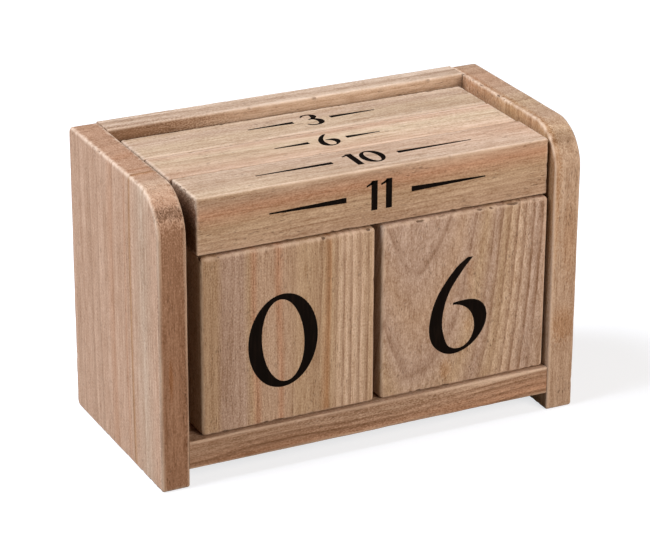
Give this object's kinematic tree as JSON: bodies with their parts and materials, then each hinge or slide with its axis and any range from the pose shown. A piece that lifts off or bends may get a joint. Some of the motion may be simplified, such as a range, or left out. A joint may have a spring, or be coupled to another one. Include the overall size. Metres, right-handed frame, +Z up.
{
  "type": "perpetual desk calendar",
  "caption": "Wooden perpetual desk calendar: open cabinet on raised side panels with loose day cubes and square month bars that are taken out, turned and put back.",
  "frame": {"origin": "middle of the footprint, on the surface that the side panels stand on", "axes": "+X to the right along the cabinet's width, +Y to the back (the dates face -Y), +Z up"},
  "size_m": [0.123, 0.06, 0.082],
  "materials": {
    "cabinet_wood": "raw, sanded",
    "cube_wood": "raw, sanded, printed digits",
    "bar_wood": "raw, sanded, printed digits",
    "dowel_wood": "raw, fluted"
  },
  "bodies": {
    "cabinet": {"side_panel_left": "cabinet_wood", "side_panel_right": "cabinet_wood", "back_panel": "cabinet_wood", "shelf": "cabinet_wood", "shelf_dowel_left_front": "dowel_wood", "shelf_dowel_left_rear": "dowel_wood", "shelf_dowel_right_front": "dowel_wood", "shelf_dowel_right_rear": "dowel_wood", "back_dowel_left_low": "dowel_wood", "back_dowel_left_high": "dowel_wood", "back_dowel_right_low": "dowel_wood", "back_dowel_right_high": "dowel_wood", "rear_dowel_left": "dowel_wood", "rear_dowel_middle": "dowel_wood", "rear_dowel_right": "dowel_wood"},
    "left_cube": {"day_cube_left": "cube_wood"},
    "right_cube": {"day_cube_right": "cube_wood"},
    "front_bar": {"month_bar_front": "bar_wood"},
    "middle_bar": {"month_bar_middle": "bar_wood"},
    "rear_bar": {"month_bar_rear": "bar_wood"}
  },
  "joints": [
    {"name": "left_cube_slide", "type": "slide", "parent": "cabinet", "child": "left_cube", "axis": [0, -1, 0], "range_m": [0, 0.058]},
    {"name": "right_cube_slide", "type": "slide", "parent": "cabinet", "child": "right_cube", "axis": [0, -1, 0], "range_m": [0, 0.058]},
    {"name": "front_bar_lift", "type": "slide", "parent": "cabinet", "child": "front_bar", "axis": [0, 0, 1], "range_m": [0, 0.025]},
    {"name": "middle_bar_lift", "type": "slide", "parent": "cabinet", "child": "middle_bar", "axis": [0, 0, 1], "range_m": [0, 0.025]},
    {"name": "rear_bar_lift", "type": "slide", "parent": "cabinet", "child": "rear_bar", "axis": [0, 0, 1], "range_m": [0, 0.025]}
  ]
}
